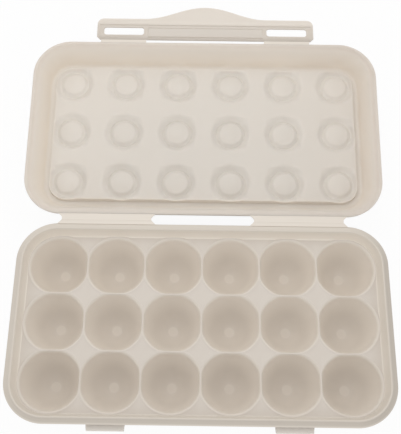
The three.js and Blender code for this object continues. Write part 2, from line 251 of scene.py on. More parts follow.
# Grid lines of the lid in millimetres, from a dimple's middle and from the rim inwards
MILLIMETRE = 0.001
DIMPLE_LINES = (0, 2, 4, 6, 7.6, 8.8, 9.8, 10.6, 11.3, 12, 12.7, 13.4)
BETWEEN_LINES = (14.6, 15.8, 17, 18.4, 20.2, 22.2, 24.5)
BORDER_LINES = (0, 0.02, 0.08, 0.2, 0.4, 0.7, 1.1, 1.6, 2.05, 2.3, 2.6, 3, 3.4, 3.8, 4.2, 4.6, 5.05,
                5.5, 6, 6.8, 8.2, 10, 11.2, 11.8, 12.3, 12.8, 13.3, 13.8, 14.4, 15.2, 16, 16.8, 17.4,
                17.8, 18.1, 18.25, 18.4, 18.55, 18.7, 18.85, 19, 19.2, 19.5, 20, 20.7, 21.4)
LINE_DIGITS = 7

# Colours as written, 0 to 255 in sRGB
BYTE = 255
SRGB_KNEE, SRGB_SLOPE, SRGB_OFFSET, SRGB_POWER = 0.04045, 12.92, 0.055, 2.4

# Surface of the plastic
CLOUD_SCALE, CLOUD_DETAIL = 14.0, 3.0
CLOUD_DARKEST, CLOUD_PALEST = 0.985, 1.012
GLOSS_SCALE, GLOSS_DETAIL, GLOSS_SWING = 90.0, 2.0, 0.05
WAVE_SCALE, WAVE_DETAIL, WAVE_STRENGTH, WAVE_HEIGHT = 45.0, 1.0, 0.25, 0.0004
GRAIN_SCALE, GRAIN_DETAIL, GRAIN_STRENGTH, GRAIN_HEIGHT = 2600.0, 2.0, 0.2, 0.00006
PLASTIC_IOR = 1.49
GLOW_RADIUS = (1.0, 0.98, 0.96)
GLOW_SCALE = 0.004

# Painted shade and light on the tray's rim, by the way each part faces, from 0, its first colour, to 1, its other,
# darker colour
PAINTED_FLANGE_SHADE = 0.71
PAINTED_FLANGE_RIGHT_SHADE = 0.28
PAINTED_FLANGE_FRONT_SHADE = 0.16
PAINTED_FLANGE_BACK_LIGHT = -0.2
# Painted highlight along the outer edge of the front flange
PAINTED_EDGE_HIGHLIGHT = 0.45
PAINTED_HIGHLIGHT_WIDTH = 0.0004
PAINTED_HIGHLIGHT_FADE = 0.0012
PAINTED_WALL_SHADE = 0.34
PAINTED_WALL_LEFT_LIGHT = -0.1
PAINTED_WALL_FRONT_SHADE = 0.15
PAINTED_WALL_BACK_LIGHT = -0.3
PAINTED_WALL_SHADE_RUN = 0.0008
PAINTED_RIDGE_SHADE = 0.5

# Painted light and shade in a cup, from 0, its first colour, to 1, its other, paler colour: paler towards the
# mouth, on the flat foot and row by row towards the back, darker on each cup's far side and paler on its near side
PAINTED_CUP_LIGHT = 0.27
PAINTED_FOOT_LIGHT = 0.2
PAINTED_MOUTH_LIGHT = 0.6
PAINTED_MOUTH_LIGHT_START, PAINTED_MOUTH_LIGHT_RUN = 0.55, 0.35
PAINTED_FAR_SIDE_SHADE = -0.2
PAINTED_FAR_SIDE_RUN = 0.5
PAINTED_LIGHT_PER_ROW = 0.11

# Painted light and shade inside the lid, from 0, its first colour, to 1, its other, darker colour; the outside has
# one even tone
PAINTED_BORDER_SHADES = (1, 0.5, 0, 0.5)
PAINTED_PANEL_SHADE = 0.48
PAINTED_MOAT_LIGHT = -0.25
PAINTED_RIGHT_END_SHADE = 0.2
PAINTED_RIGHT_END_START, PAINTED_RIGHT_END_RUN = 0.05, 0.1
OUTSIDE_TONE = 0.44

# Painted shade and light on the latch flap: darkest on the bar by its fold, palest past the crease on the lip and
# thumb tab
PAINTED_LIP_LIGHT_RUN = 0.003


def tray_place(x, y, z):
    """A point drawn about the tray's middle."""
    return np.stack([x, y + TRAY_Y, z + 0 * x], axis=-1)


def lid_place(x, y, z):
    """A point drawn about the lid's middle, z from its rim plane, with the lid opened back."""
    along = y + HINGE_STANDOFF + RIM_DEPTH / 2
    above = z - SEAT_GAP / 2
    world_y = HINGE.y + along * math.cos(OPEN_TILT) - above * math.sin(OPEN_TILT)
    world_z = HINGE.z + along * math.sin(OPEN_TILT) + above * math.cos(OPEN_TILT)
    return np.stack([x, world_y, world_z], axis=-1)


def build(name, points, faces, material, body, nodes=(), tone_and_painted_light=None):
    """A smooth piece that rides on a body and stands for the nodes named."""
    mesh = bpy.data.meshes.new(name)
    mesh.from_pydata([tuple(p) for p in points], [], [tuple(f) for f in faces])
    mesh.validate()
    mesh.polygons.foreach_set("use_smooth", [True] * len(mesh.polygons))
    mesh.set_sharp_from_angle(angle=SHARP_ANGLE)
    # Per-point attribute: painted light and shade on most pieces, one even tone on the lid's outside
    if tone_and_painted_light is not None:
        mesh.attributes.new("tone_and_painted_light", "FLOAT", "POINT").data.foreach_set("value", np.asarray(tone_and_painted_light, float))
    mesh.materials.append(material)
    piece = bpy.data.objects.new(name, mesh)
    bpy.context.scene.collection.objects.link(piece)
    if body:
        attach(piece, body)
    if nodes:
        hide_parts(*nodes)
    return piece


def outward(points, faces):
    """The faces, turned round if they enclose a negative volume."""
    points = np.asarray(points)
    volume = 0.0
    for face in faces:
        first = points[face[0]]
        for a, b in zip(face[1:-1], face[2:]):
            volume += np.dot(first, np.cross(points[a], points[b]))
    return [tuple(reversed(face)) for face in faces] if volume < 0 else faces


def soften(corners, steps=ROUND_STEPS):
    """A closed outline from corners given as (across, up, length cut off by the rounding)."""
    outline = []
    for i, (across, up, cut) in enumerate(corners):
        here = np.array((across, up))
        if cut == 0:
            outline.append(here)
            continue
        before = np.array(corners[i - 1][:2]) - here
        after = np.array(corners[(i + 1) % len(corners)][:2]) - here
        start = here + before * cut / np.linalg.norm(before)
        end = here + after * cut / np.linalg.norm(after)
        for share in np.linspace(0, 1, steps + 1):
            outline.append((1 - share) ** 2 * start + 2 * share * (1 - share) * here + share ** 2 * end)
    return outline


def rim_outline(inset):
    """The rim seen from above, moved inwards, as x and y from its middle."""
    radius = RIM_CORNER - inset
    points = []
    for turn, (side_x, side_y) in enumerate(((1, 1), (-1, 1), (-1, -1), (1, -1))):
        middle_x = side_x * (RIM_WIDTH / 2 - RIM_CORNER)
        middle_y = side_y * (RIM_DEPTH / 2 - RIM_CORNER)
        for share in np.linspace(0, 1, CORNER_STEPS + 1):
            angle = (turn + share) * math.pi / 2
            points.append((middle_x + radius * math.cos(angle), middle_y + radius * math.sin(angle)))
    ring = []
    for here, after in zip(points, points[1:] + points[:1]):
        ring.append(here)
        if math.dist(here, after) > PITCH:
            for share in SIDE_SHARES:
                ring.append((here[0] + share * (after[0] - here[0]),
                             here[1] + share * (after[1] - here[1])))
    return np.array(ring)


def facing(outline):
    """Which way the rim faces at each point of its outline."""
    straight = np.array((RIM_WIDTH / 2 - RIM_CORNER, RIM_DEPTH / 2 - RIM_CORNER))
    outwards = outline - np.clip(outline, -straight, straight)
    return (outwards / np.linalg.norm(outwards, axis=1)[:, None]).T


def band_faces(levels, count, closed=False):
    """Quads between neighbouring rings of equally many points."""
    faces = []
    for j in range(levels if closed else levels - 1):
        here, after = j * count, (j + 1) % levels * count
        for i in range(count):
            beside = (i + 1) % count
            faces.append((here + i, here + beside, after + beside, after + i))
    return faces


def end_faces(levels, count):
    """Quads that close both ends of a strip, each from its upper side to its lower side."""
    faces = []
    for start in (0, (levels - 1) * count):
        for i in range(count // 2 - 1):
            quad = (start + i, start + i + 1, start + count - 2 - i, start + count - 1 - i)
            faces.append(quad[::-1] if start == 0 else quad)
    return faces


def rim_sweep(section, place):
    """A closed section of (inset, height) points carried round the rim."""
    rings = []
    for inset, height in section:
        ring = rim_outline(inset)
        rings.append(place(ring[:, 0], ring[:, 1], np.full(len(ring), height)))
    points = np.concatenate(rings)
    return points, outward(points, band_faces(len(rings), len(rings[0]), closed=True))


def poled_rings(rings, first_pole, last_pole):
    """A closed body from rings of equally many points between two poles."""
    count, faces = len(rings[0]), []
    points = np.concatenate([*rings, [first_pole], [last_pole]])
    first, last = len(points) - 2, len(points) - 1
    for i in range(count):
        beside = (i + 1) % count
        faces.append((first, i, beside))
        for j in range(len(rings) - 1):
            faces.append((j * count + i, (j + 1) * count + i, (j + 1) * count + beside, j * count + beside))
        end = (len(rings) - 1) * count
        faces.append((last, end + beside, end + i))
    return points, outward(points, faces)


def smooth_min(a, b, blend):
    """The smaller of two values, rounded where they are less than a blend apart."""
    share = np.clip(0.5 + 0.5 * (b - a) / blend, 0, 1)
    return b + (a - b) * share - blend * share * (1 - share)


def smooth_step(value):
    """A soft step from 0 to 1 while a value goes from 0 to 1."""
    share = np.clip(value, 0, 1)
    return share * share * (3 - 2 * share)


# Materials

def plastic(name, colour, roughness, glow=0.0, light_and_shade_colour=None):
    """Satin moulded polypropylene: cloudy tone, fine mould grain and slow waves.

    glow is the share of light that passes through thin walls; the second colour, a paler or darker copy of the
    first, paints light and shade where the per-point attribute is 1.
    """
    material = bpy.data.materials.new(name)
    material.use_nodes = True
    nodes, links = material.node_tree.nodes, material.node_tree.links
    shader = nodes["Principled BSDF"]
    place = nodes.new("ShaderNodeTexCoord")

    def noise(scale, detail):
        node = nodes.new("ShaderNodeTexNoise")
        node.inputs["Scale"].default_value = scale
        node.inputs["Detail"].default_value = detail
        links.new(place.outputs["Object"], node.inputs["Vector"])
        return node

    def bump(scale, detail, strength, height):
        node = nodes.new("ShaderNodeBump")
        node.inputs["Strength"].default_value = strength
        node.inputs["Distance"].default_value = height
        links.new(noise(scale, detail).outputs["Fac"], node.inputs["Height"])
        return node

    cloud = nodes.new("ShaderNodeMix")
    cloud.data_type = "RGBA"
    cloud.inputs["A"].default_value = (*[channel * CLOUD_DARKEST for channel in colour], 1)
    cloud.inputs["B"].default_value = (*[min(channel * CLOUD_PALEST, 1) for channel in colour], 1)
    links.new(noise(CLOUD_SCALE, CLOUD_DETAIL).outputs["Fac"], cloud.inputs["Factor"])

    # Painted light and shade: the per-point attribute mixes the second colour into the first
    share = nodes.new("ShaderNodeAttribute")
    share.attribute_name = "tone_and_painted_light"
    light_and_shade_mix = nodes.new("ShaderNodeMix")
    light_and_shade_mix.data_type = "RGBA"
    light_and_shade_mix.inputs["B"].default_value = (*(light_and_shade_colour or colour), 1)
    links.new(share.outputs["Fac"], light_and_shade_mix.inputs["Factor"])
    links.new(cloud.outputs["Result"], light_and_shade_mix.inputs["A"])
    links.new(light_and_shade_mix.outputs["Result"], shader.inputs["Base Color"])

    gloss_range = nodes.new("ShaderNodeMapRange")
    gloss_range.inputs["To Min"].default_value = roughness - GLOSS_SWING
    gloss_range.inputs["To Max"].default_value = roughness + GLOSS_SWING
    links.new(noise(GLOSS_SCALE, GLOSS_DETAIL).outputs["Fac"], gloss_range.inputs["Value"])
    links.new(gloss_range.outputs["Result"], shader.inputs["Roughness"])

    waves = bump(WAVE_SCALE, WAVE_DETAIL, WAVE_STRENGTH, WAVE_HEIGHT)
    grain = bump(GRAIN_SCALE, GRAIN_DETAIL, GRAIN_STRENGTH, GRAIN_HEIGHT)
    links.new(waves.outputs["Normal"], grain.inputs["Normal"])
    links.new(grain.outputs["Normal"], shader.inputs["Normal"])
    shader.inputs["IOR"].default_value = PLASTIC_IOR
    shader.inputs["Subsurface Weight"].default_value = glow
    shader.inputs["Subsurface Radius"].default_value = GLOW_RADIUS
    shader.inputs["Subsurface Scale"].default_value = GLOW_SCALE
    return material


def linear(red, green, blue):
    """An sRGB colour, 0 to 255, as linear channels."""
    channels = []
    for share in (red / BYTE, green / BYTE, blue / BYTE):
        curved = ((share + SRGB_OFFSET) / (1 + SRGB_OFFSET)) ** SRGB_POWER
        channels.append(share / SRGB_SLOPE if share <= SRGB_KNEE else curved)
    return channels


# Copies of one plastic: each part's colours are set paler or darker to paint the light and shade that falls on it
tray_plastic = plastic("tray_plastic", linear(238, 230, 219), 0.42, light_and_shade_colour=linear(190, 182, 172))
cup_plastic = plastic("cup_plastic", linear(212, 204, 195), 0.45, light_and_shade_colour=linear(231, 223, 213))
lid_plastic = plastic("lid_plastic", linear(232, 224, 214), 0.42, 0.8, linear(208, 200, 192))
latch_plastic = plastic("latch_plastic", linear(190, 182, 173), 0.4, 0.4, linear(221, 213, 204))
catch_plastic = plastic("catch_plastic", linear(226, 220, 213), 0.42)
hinge_plastic = plastic("hinge_plastic", linear(226, 218, 208), 0.36)


# Tray

def painted_shade_by_side(outline, everywhere, right=0, left=0, front=0, back=0):
    """Painted shade and light round the rim, which change with the way the rim faces."""
    toward_x, toward_y = facing(outline)
    return (everywhere + right * np.maximum(toward_x, 0) + left * np.maximum(-toward_x, 0)
            + front * np.maximum(-toward_y, 0) + back * np.maximum(toward_y, 0))


def tray_rim():
    """The flange, ridge, inner wall and skirt, as one ring."""
    flange_under = RIM_Z - FLANGE_EDGE
    ridge_z = RIM_Z + RIDGE_RISE
    ridge_start = FLANGE_WIDTH + RIDGE_TAPER
    ridge_end = ridge_start + RIDGE_WIDTH
    foot = WALL_FOOT + FOOT_FILLET
    section = soften([
        (0, flange_under, SMALL_CUT),
        (0, RIM_Z - FLANGE_SIDE, SMALL_CUT),
        (FLANGE_BREAK, RIM_Z - FLANGE_FALL, RIM_CUT),
        (FLANGE_WIDTH - RIDGE_LEAD, RIM_Z, STEP_CUT),
        (ridge_start + RIDGE_LEAN, ridge_z, STEP_CUT),
        (ridge_end, ridge_z, RIM_CUT),
        (WALL_FOOT, DECK_Z, FOOT_FILLET),
        (foot, DECK_Z - TUCK / 10, 0),
        (foot, DECK_Z - DECK_THICKNESS, 0),
        (WALL_FOOT - WALL_THICKNESS, DECK_Z - DECK_THICKNESS, UNDER_CUT),
        (SKIRT_INSET + SKIRT_WALL, flange_under, STEP_CUT),
        (SKIRT_INSET + SKIRT_DRAFT + SKIRT_WALL, 0, FOOT_CUT),
        (SKIRT_INSET + SKIRT_DRAFT, 0, SMALL_CUT),
        (SKIRT_INSET, flange_under, STEP_CUT),
    ])
    points, faces = rim_sweep(section, tray_place)
    # Painted shade on the flange, darker at the front and right and lighter at the back; painted light on the
    # inner wall, palest at the back, a little paler at the left and darker at the front
    tones_and_painted_light = []
    for inset, _ in section:
        outline = rim_outline(inset)
        painted_highlight = PAINTED_EDGE_HIGHLIGHT * (1 - smooth_step((inset - PAINTED_HIGHLIGHT_WIDTH) / PAINTED_HIGHLIGHT_FADE))
        flange = painted_shade_by_side(outline, PAINTED_FLANGE_SHADE, right=PAINTED_FLANGE_RIGHT_SHADE,
                              front=PAINTED_FLANGE_FRONT_SHADE - painted_highlight, back=PAINTED_FLANGE_BACK_LIGHT)
        wall = painted_shade_by_side(outline, PAINTED_WALL_SHADE, left=PAINTED_WALL_LEFT_LIGHT, front=PAINTED_WALL_FRONT_SHADE, back=PAINTED_WALL_BACK_LIGHT)
        outer = 1 - smooth_step((inset - FLANGE_WIDTH) / RIDGE_WIDTH)
        inner = smooth_step((inset - ridge_end) / PAINTED_WALL_SHADE_RUN)
        tones_and_painted_light.append(flange * outer + (wall * inner + PAINTED_RIDGE_SHADE * (1 - inner)) * (1 - outer))
    rings = [name for name in frame["nodes"] if name.startswith("tray_")]
    build("moulded_tray_rim", points, faces, tray_plastic, "tray", rings,
          np.concatenate(tones_and_painted_light))


def plane_distance(angles, half, row, column):
    """Distance from a cup's middle to the planes it shares with its neighbours, along each angle."""
    distance = np.full(len(angles), RIM_WIDTH)
    directions = (
        (np.cos(angles), column < COLUMNS - 1),
        (-np.cos(angles), column > 0),
        (np.sin(angles), row < ROWS - 1),
        (-np.sin(angles), row > 0),
    )
    for toward, has_neighbour in directions:
        if has_neighbour:
            reaches = toward > LEAST_COSINE
            distance[reaches] = np.minimum(distance[reaches], half / toward[reaches])
    return distance


def rim_distance(angles, x, y, inset):
    """Distance from a point to the rim's outline moved inwards, along each angle."""
    near, far = np.zeros(len(angles)), np.full(len(angles), RIM_WIDTH)
    corner = RIM_CORNER - inset
    for _ in range(HALVINGS):
        middle = (near + far) / 2
        over_x = np.abs(x + middle * np.cos(angles)) - (RIM_WIDTH / 2 - RIM_CORNER)
        over_y = np.abs(y + middle * np.sin(angles)) - (RIM_DEPTH / 2 - RIM_CORNER)
        beyond = np.hypot(np.maximum(over_x, 0), np.maximum(over_y, 0)) - corner
        inside = (beyond < 0) & (np.maximum(over_x, over_y) < corner)
        near, far = np.where(inside, middle, near), np.where(inside, far, middle)
    return near


def cup_angles(row, column):
    """Even angles round a cup, with the corners of its cell among them."""
    half = PITCH / 2
    to_rim = RIM_WIDTH / 2 - WALL_FOOT + TUCK - (COLUMNS - 1) / 2 * PITCH
    right = half if column < COLUMNS - 1 else to_rim
    left = half if column > 0 else to_rim
    back = half if row < ROWS - 1 else to_rim
    front = half if row > 0 else to_rim
    angles = [2 * math.pi * i / CUP_ANGLES for i in range(CUP_ANGLES)]
    for x, y in ((right, back), (-left, back), (-left, -front), (right, -front)):
        corner = math.atan2(y, x) % (2 * math.pi)
        if min(abs(corner - angle) for angle in angles) > SAME_ANGLE:
            angles.append(corner)
    return np.array(sorted(angles))


def bowl_rings():
    """Radius and depth of rings up the inside of a cup, which steepens evenly from its flat foot."""
    top_radius = CUP_RADIUS - LIP_RUN
    turning = (BOWL_LAST_SLOPE - BOWL_FIRST_SLOPE) / (top_radius - BOWL_FLAT)
    slopes = np.linspace(BOWL_FIRST_SLOPE, BOWL_LAST_SLOPE, BOWL_RINGS)
    radii = BOWL_FLAT + (slopes - BOWL_FIRST_SLOPE) / turning
    rises = np.log(math.cos(BOWL_FIRST_SLOPE) / np.cos(slopes)) / turning
    depths = CUP_DEPTH - rises * (CUP_DEPTH - LIP_DEPTH) / rises[-1]
    flat = [(BOWL_FLAT * share, CUP_DEPTH) for share in BOWL_FLAT_SHARES]
    return flat + list(zip(radii, depths))


def egg_cup(row, column):
    """A cup with its share of the deck, and the soft dividers to its neighbours."""
    x = (column - (COLUMNS - 1) / 2) * PITCH
    y = (row - (ROWS - 1) / 2) * PITCH
    angles = cup_angles(row, column)
    all_round = np.ones(len(angles))
    edge = np.minimum(plane_distance(angles, PITCH / 2, row, column),
                      rim_distance(angles, x, y, WALL_FOOT - TUCK))
    wall = plane_distance(angles, PITCH / 2 - DIVIDER / 2, row, column) - LIP_RUN / 4
    crest = smooth_min((CUP_RADIUS + DIVIDER / 2) * all_round, edge, CUP_BLEND)

    def ring(radius, height):
        return tray_place(x + radius * np.cos(angles), y + radius * np.sin(angles), DECK_Z + height)

    # Painted light and shade: paler towards the mouth, on the flat foot and row by row towards the back, darker on
    # each cup's far side and paler on its near side
    rings, tone_and_painted_light = [], []
    for across, depth in bowl_rings():
        rings.append(ring(smooth_min(across * all_round, wall, CUP_BLEND), -depth))
        reach = across / CUP_RADIUS
        toward_mouth = smooth_step((reach - PAINTED_MOUTH_LIGHT_START) / PAINTED_MOUTH_LIGHT_RUN)
        toward_back = smooth_step(reach / PAINTED_FAR_SIDE_RUN) * np.sin(angles)
        tone = PAINTED_CUP_LIGHT + PAINTED_LIGHT_PER_ROW * row + PAINTED_FOOT_LIGHT * (across < BOWL_FLAT)
        tone_and_painted_light.append(tone + PAINTED_MOUTH_LIGHT * toward_mouth + PAINTED_FAR_SIDE_SHADE * toward_back)
    inner = smooth_min((CUP_RADIUS - LIP_RUN) * all_round, wall, CUP_BLEND)
    mouth_painted_light = tone_and_painted_light[-1]
    for turn in np.linspace(0, 1, LIP_RINGS)[1:]:
        out, up = 1 - math.cos(turn * math.pi / 2), math.sin(turn * math.pi / 2)
        rings.append(ring(inner + out * (crest - inner), up * (LIP_DEPTH + BEAD_HEIGHT) - LIP_DEPTH))
        tone_and_painted_light.append(mouth_painted_light * (1 - turn ** 2))
    room = edge - crest
    for share in BEAD_SHARES:
        past = np.minimum(share * BEAD_RUN, share * room)
        rings.append(ring(crest + past, BEAD_HEIGHT * (1 - smooth_step(past / BEAD_RUN))))
    rings.append(ring(edge, BEAD_HEIGHT * (1 - smooth_step(room / BEAD_RUN))))
    rings.append(ring(edge, -DECK_THICKNESS))
    rings.append(ring(np.minimum(CUP_RADIUS + CUP_WALL + BEAD_RUN, edge), -DECK_THICKNESS))
    for turn in np.linspace(*UNDER_TURNS, UNDER_RINGS) * math.pi / 2:
        across = math.sin(turn) ** (2 / UNDER_POWER_ACROSS)
        down = math.cos(turn) ** (2 / UNDER_POWER_DOWN)
        depth = max(down * (CUP_DEPTH + CUP_WALL), DECK_THICKNESS + BEAD_RUN)
        rings.append(ring(np.minimum(across * CUP_RADIUS + CUP_WALL, edge), -depth))
    middle = (x, y + TRAY_Y)
    points, faces = poled_rings(
        rings, (*middle, DECK_Z - CUP_DEPTH), (*middle, DECK_Z - CUP_DEPTH - CUP_WALL))
    tones_and_painted_light = np.zeros(len(points))
    tones_and_painted_light[:len(tone_and_painted_light) * len(angles)] = np.concatenate(tone_and_painted_light)
    tones_and_painted_light[-2] = tone_and_painted_light[0].mean()
    name = f"row{row + 1}_col{column + 1}"
    build(f"egg_cup_{name}", points, faces, cup_plastic, "tray", [f"cup_{name}"], tones_and_painted_light)


def rounded_block(name, corners, cut, material, body, nodes):
    """A block through eight corners, the lower four first, with rounded edges."""
    lower, upper = np.array(corners[:4]), np.array(corners[4:])
    rows = []
    for level, toward in ((lower, upper), (upper, lower)):
        middle = level.mean(0)
        lift = (toward.mean(0) - middle) / np.linalg.norm(toward.mean(0) - middle)
        centred = level - middle
        ring = []
        for share in np.linspace(0, 1, ROUND_STEPS + 1):
            angle = share * math.pi / 2
            shift = cut * (1 - math.sin(angle))
            drawn_in = middle + centred - np.sign(centred) * shift * (np.abs(centred) > cut)
            ring.append(drawn_in + lift * cut * (1 - math.cos(angle)))
        rows.append(ring)
    levels = rows[0] + rows[1][::-1]
    points, count = np.concatenate(levels), len(lower)
    top = (len(levels) - 1) * count
    faces = band_faces(len(levels), count)
    faces.append(tuple(reversed(range(count))))
    faces.append(tuple(range(top, top + count)))
    return build(name, points, outward(points, faces), material, body, nodes)


def front_catch(side_name, side):
    """A hook on the front of the tray, a little narrower at its tip."""
    node = f"catch_{side_name}"
    low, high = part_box(node)
    near, far = sorted((abs(low.x), abs(high.x)))
    corners = []
    for z in (low.z, high.z):
        corners += [(side * near, high.y, z), (side * far, high.y, z),
                    (side * (far - CATCH_TAPER), low.y, z), (side * (near + CATCH_TAPER), low.y, z)]
    rounded_block(f"front_catch_{side_name}", corners, CATCH_ROUNDING, catch_plastic,
                  "tray", [node])


# Lid

def dimple_depth(radius):
    """Depth of the moat and of its low dome below the panel, at a distance from the dome's middle."""
    dome = DOME_SHARE * MOAT_DEPTH * (radius / DOME_RADIUS) ** 2
    outer = MOAT_DEPTH * (1 - smooth_step((radius - MOAT_RADIUS) / (DIMPLE_RADIUS - MOAT_RADIUS)))
    fall = smooth_step((radius - DOME_RADIUS + DOME_SIDE_START) / DOME_SIDE_RUN)
    return np.where(radius < DIMPLE_RADIUS, dome * (1 - fall) + outer * fall, 0)


def rim_inset(x, y):
    """Distance of a point inwards from the rim's outline."""
    over_x = np.abs(x) - (RIM_WIDTH / 2 - RIM_CORNER)
    over_y = np.abs(y) - (RIM_DEPTH / 2 - RIM_CORNER)
    rounded = np.hypot(np.maximum(over_x, 0), np.maximum(over_y, 0))
    return RIM_CORNER - np.where((over_x > 0) & (over_y > 0), rounded, np.maximum(over_x, over_y))


def from_middles(x, y):
    """A point's place as seen from the middle of the cell that it lies in."""
    column = np.clip(np.round(x / PITCH + (COLUMNS - 1) / 2), 0, COLUMNS - 1)
    row = np.clip(np.round(y / PITCH + (ROWS - 1) / 2), 0, ROWS - 1)
    return x - (column - (COLUMNS - 1) / 2) * PITCH, y - (row - (ROWS - 1) / 2) * PITCH


def to_circles(x, y):
    """Square rings about the middle, drawn round into circles."""
    reach = np.maximum(np.abs(x), np.abs(y))
    share = np.minimum(np.abs(x), np.abs(y)) / np.where(reach > 0, reach, 1) * math.pi / 4
    turn = np.where(np.abs(x) >= np.abs(y), share, math.pi / 2 - share)
    return np.sign(x) * reach * np.cos(turn), np.sign(y) * reach * np.sin(turn)


def lid_surface(x, y, section, panel_foot, drop):
    """Heights over the lid: a section round its border, then the raised panel with its dimples."""
    inset = rim_inset(x, y)
    border = np.interp(inset, *np.array(section).T)
    surface = -PANEL_DEPTH - dimple_depth(np.hypot(*from_middles(x, y)))
    steepness = (TROUGH_DEPTH - PANEL_DEPTH) / (PANEL_INSET - PANEL_FOOT)
    side = -TROUGH_DEPTH + (inset - panel_foot) * steepness
    lowered = smooth_min(surface, side, PANEL_TOP_BLEND)
    panel = -smooth_min(-lowered, np.full(x.shape, TROUGH_DEPTH), PANEL_FOOT_BLEND) - drop
    return np.where(inset < PANEL_START, border, panel)


def lid_lines(half, cells):
    """Places of the lid's grid lines, close together where the rim and the dimples curve."""
    lines = [side * (half - inset * MILLIMETRE) for side in (-1, 1) for inset in BORDER_LINES]
    for cell in range(cells):
        middle = (cell - (cells - 1) / 2) * PITCH
        for side, has_neighbour in ((-1, cell > 0), (1, cell < cells - 1)):
            steps = DIMPLE_LINES + BETWEEN_LINES if has_neighbour else DIMPLE_LINES
            lines += [middle + side * step * MILLIMETRE for step in steps]
    return np.unique(np.round(lines, LINE_DIGITS))


def lid_grid():
    """The lid's grid seen from above, its lines drawn round the rim's corners and the dimples."""
    flat_x, flat_y = np.meshgrid(lid_lines(RIM_WIDTH / 2, COLUMNS), lid_lines(RIM_DEPTH / 2, ROWS),
                                 indexing="ij")
    straight_x, straight_y = RIM_WIDTH / 2 - RIM_CORNER, RIM_DEPTH / 2 - RIM_CORNER
    over_x, over_y = np.abs(flat_x) - straight_x, np.abs(flat_y) - straight_y
    in_corner = (over_x > 0) & (over_y > 0)
    round_x, round_y = to_circles(over_x, over_y)
    corner_x = np.where(in_corner, np.sign(flat_x) * (straight_x + round_x), flat_x)
    corner_y = np.where(in_corner, np.sign(flat_y) * (straight_y + round_y), flat_y)
    from_x, from_y = from_middles(flat_x, flat_y)
    dimple_x, dimple_y = to_circles(from_x, from_y)
    reach = np.maximum(np.abs(from_x), np.abs(from_y))
    near = 1 - smooth_step((reach - CIRCLE_REACH) / CIRCLE_FADE)
    x = near * (flat_x - from_x + dimple_x) + (1 - near) * corner_x
    y = near * (flat_y - from_y + dimple_y) + (1 - near) * corner_y
    return x, y


def lid_painted_light_and_shade(x, y):
    """Painted light and shade over the inside of the lid: darker at the rim's edge, paler down the walls, darker
    again in the trough, paler in the dimples' moats and darker towards the right end.
    """
    inset = rim_inset(x, y)
    border = np.interp(inset, (0, LID_WALL_FOOT / 2, LID_WALL_FOOT, PANEL_FOOT), PAINTED_BORDER_SHADES)
    moat = smooth_step(dimple_depth(np.hypot(*from_middles(x, y))) / MOAT_DEPTH * 2 - 1)
    tone_and_painted_light = np.where(inset > PANEL_FOOT, PAINTED_PANEL_SHADE + PAINTED_MOAT_LIGHT * moat, border)
    return tone_and_painted_light + PAINTED_RIGHT_END_SHADE * smooth_step((x - PAINTED_RIGHT_END_START) / PAINTED_RIGHT_END_RUN)


def lid_shell():
    """The whole lid as one skin, its inside over its outside."""
    x, y = lid_grid()
    over = soften([
        (0, -LID_SIDE, 0),
        (LID_TOP_INSET, -LID_TOP_DROP, LID_EDGE_CUT),
        (LID_FACE, 0, RIM_CUT),
        (LEDGE_INSET, -LEDGE_DEPTH, RIM_CUT),
        (LID_WALL_FOOT, -TROUGH_DEPTH + TROUGH_CHAMFER_RISE, WALL_FOOT_CUT),
        (LID_WALL_FOOT + TROUGH_CHAMFER_RUN, -TROUGH_DEPTH, FLOOR_CUT),
        (PANEL_START + LID_WALL, -TROUGH_DEPTH, 0),
    ])
    under = soften([
        (0, -LID_EDGE + OUTSIDE_BREAK, 0),
        (OUTSIDE_BREAK, -LID_EDGE, 0),
        (OUTSIDE_STEP_START, -LID_EDGE, 0),
        (OUTSIDE_STEP_END, -OUTSIDE_STEP_DEPTH, 0),
        (OUTSIDE_WALL_START, -OUTSIDE_STEP_DEPTH, SMALL_CUT),
        (OUTSIDE_WALL_FOOT, -TROUGH_DEPTH + LID_WALL / 6, UNDER_WALL_CUT),
        (OUTSIDE_ROOF_START, -TROUGH_DEPTH - LID_WALL, UNDER_WALL_CUT),
        (PANEL_START + LID_WALL, -TROUGH_DEPTH - LID_WALL, 0),
    ])
    top = lid_surface(x, y, over, PANEL_FOOT, 0)
    bottom = lid_surface(x, y, under, PANEL_FOOT + LID_WALL, LID_WALL)
    points = np.concatenate([lid_place(x, y, side).reshape(-1, 3) for side in (top, bottom)])
    size = x.size
    index = np.arange(size).reshape(x.shape)
    corners = (index[:-1, :-1], index[1:, :-1], index[1:, 1:], index[:-1, 1:])
    a, b, c, d = (corner.ravel() for corner in corners)
    loop = np.concatenate([index[:, 0], index[-1, 1:], index[-2::-1, -1], index[0, -2:0:-1]])
    after = np.roll(loop, -1)
    faces = np.concatenate([np.stack([a, b, c, d], 1), np.stack([d, c, b, a], 1) + size,
                            np.stack([after, loop, loop + size, after + size], 1)])
    tones_and_painted_light = np.concatenate([lid_painted_light_and_shade(x, y).ravel(), np.full(size, OUTSIDE_TONE)])
    nodes = [name for name in frame["nodes"] if name.startswith("lid_")]
    build("moulded_lid", points, faces.tolist(), lid_plastic, "lid", nodes, tones_and_painted_light)


# Folding hinge

def strip(name, section_top, section_under, side, place, body, nodes, flare_at):
    """A strip along the hinge whose ends flare towards the rims."""
    inner, outer = HINGE_WINDOW / 2, HINGE_WINDOW / 2 + LEAF_LENGTH
    loop = section_top + section_under[::-1]
    rings = []
    for share in np.linspace(0, 1, STRIP_STEPS):
        ring = []
        for y, z in loop:
            flare = LEAF_FLARE * flare_at(y)
            x = inner - flare + share * (outer - inner + 2 * flare)
            ring.append((side * x, y, z))
        rings.append(np.array(ring))
    flat = np.concatenate(rings)
    points = place(flat[:, 0], flat[:, 1], flat[:, 2])
    faces = band_faces(len(rings), len(loop)) + end_faces(len(rings), len(loop))
    return build(name, points, outward(points, faces), hinge_plastic, body, nodes)


